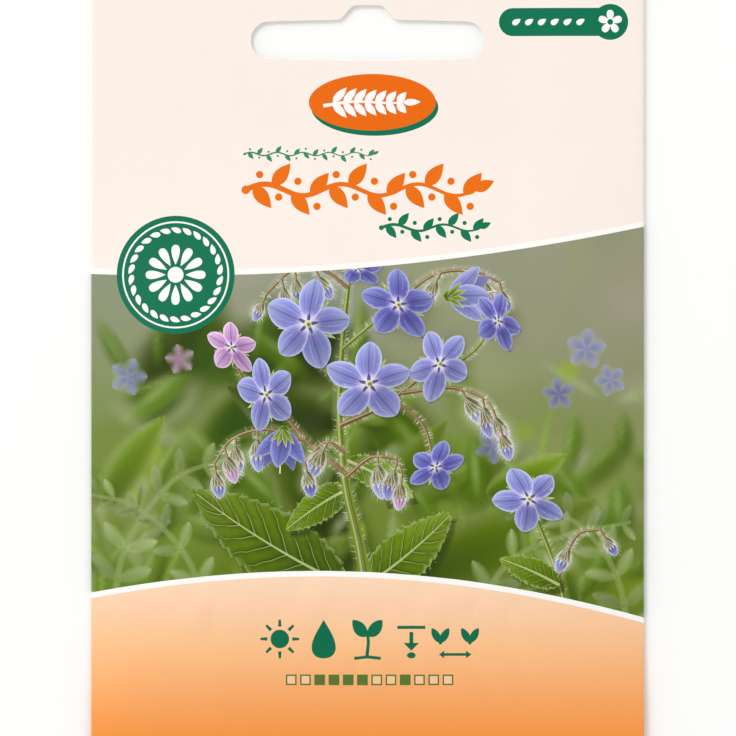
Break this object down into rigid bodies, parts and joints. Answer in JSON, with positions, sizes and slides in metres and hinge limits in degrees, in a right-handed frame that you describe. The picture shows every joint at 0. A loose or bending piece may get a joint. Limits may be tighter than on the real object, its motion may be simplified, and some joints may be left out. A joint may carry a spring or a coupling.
{
  "type": "seed packet",
  "caption": "Flat folded paper seed packet with a hang slot in its header, glued flaps on the back and loose seeds inside.",
  "frame": {"origin": "on the surface the packet lies on, under the middle of its outline", "axes": "+X across the packet, +Y up the packet towards its header and hang slot, +Z out of the printed front"},
  "size_m": [0.08, 0.118, 0.005],
  "materials": {
    "coated_paper": "satin",
    "dry_glue": "satin",
    "seed_coat": "matte"
  },
  "bodies": {
    "root": {"paper_envelope": "coated_paper", "side_seam_glue": "dry_glue", "bottom_seam_glue": "dry_glue", "mouth_glue": "dry_glue", "seed_01": "seed_coat", "seed_02": "seed_coat", "seed_03": "seed_coat", "seed_04": "seed_coat", "seed_05": "seed_coat", "seed_06": "seed_coat", "seed_07": "seed_coat", "seed_08": "seed_coat", "seed_09": "seed_coat", "seed_10": "seed_coat", "seed_11": "seed_coat", "seed_12": "seed_coat", "seed_13": "seed_coat", "seed_14": "seed_coat", "seed_15": "seed_coat", "seed_16": "seed_coat", "seed_17": "seed_coat", "seed_18": "seed_coat", "seed_19": "seed_coat", "seed_20": "seed_coat", "seed_21": "seed_coat", "seed_22": "seed_coat", "seed_23": "seed_coat", "seed_24": "seed_coat", "seed_25": "seed_coat", "seed_26": "seed_coat", "seed_27": "seed_coat", "seed_28": "seed_coat", "seed_29": "seed_coat", "seed_30": "seed_coat", "seed_31": "seed_coat", "seed_32": "seed_coat", "seed_33": "seed_coat", "seed_34": "seed_coat", "seed_35": "seed_coat", "seed_36": "seed_coat", "seed_37": "seed_coat", "seed_38": "seed_coat", "seed_39": "seed_coat", "seed_40": "seed_coat", "seed_41": "seed_coat", "seed_42": "seed_coat", "seed_43": "seed_coat", "seed_44": "seed_coat"}
  },
  "joints": []
}
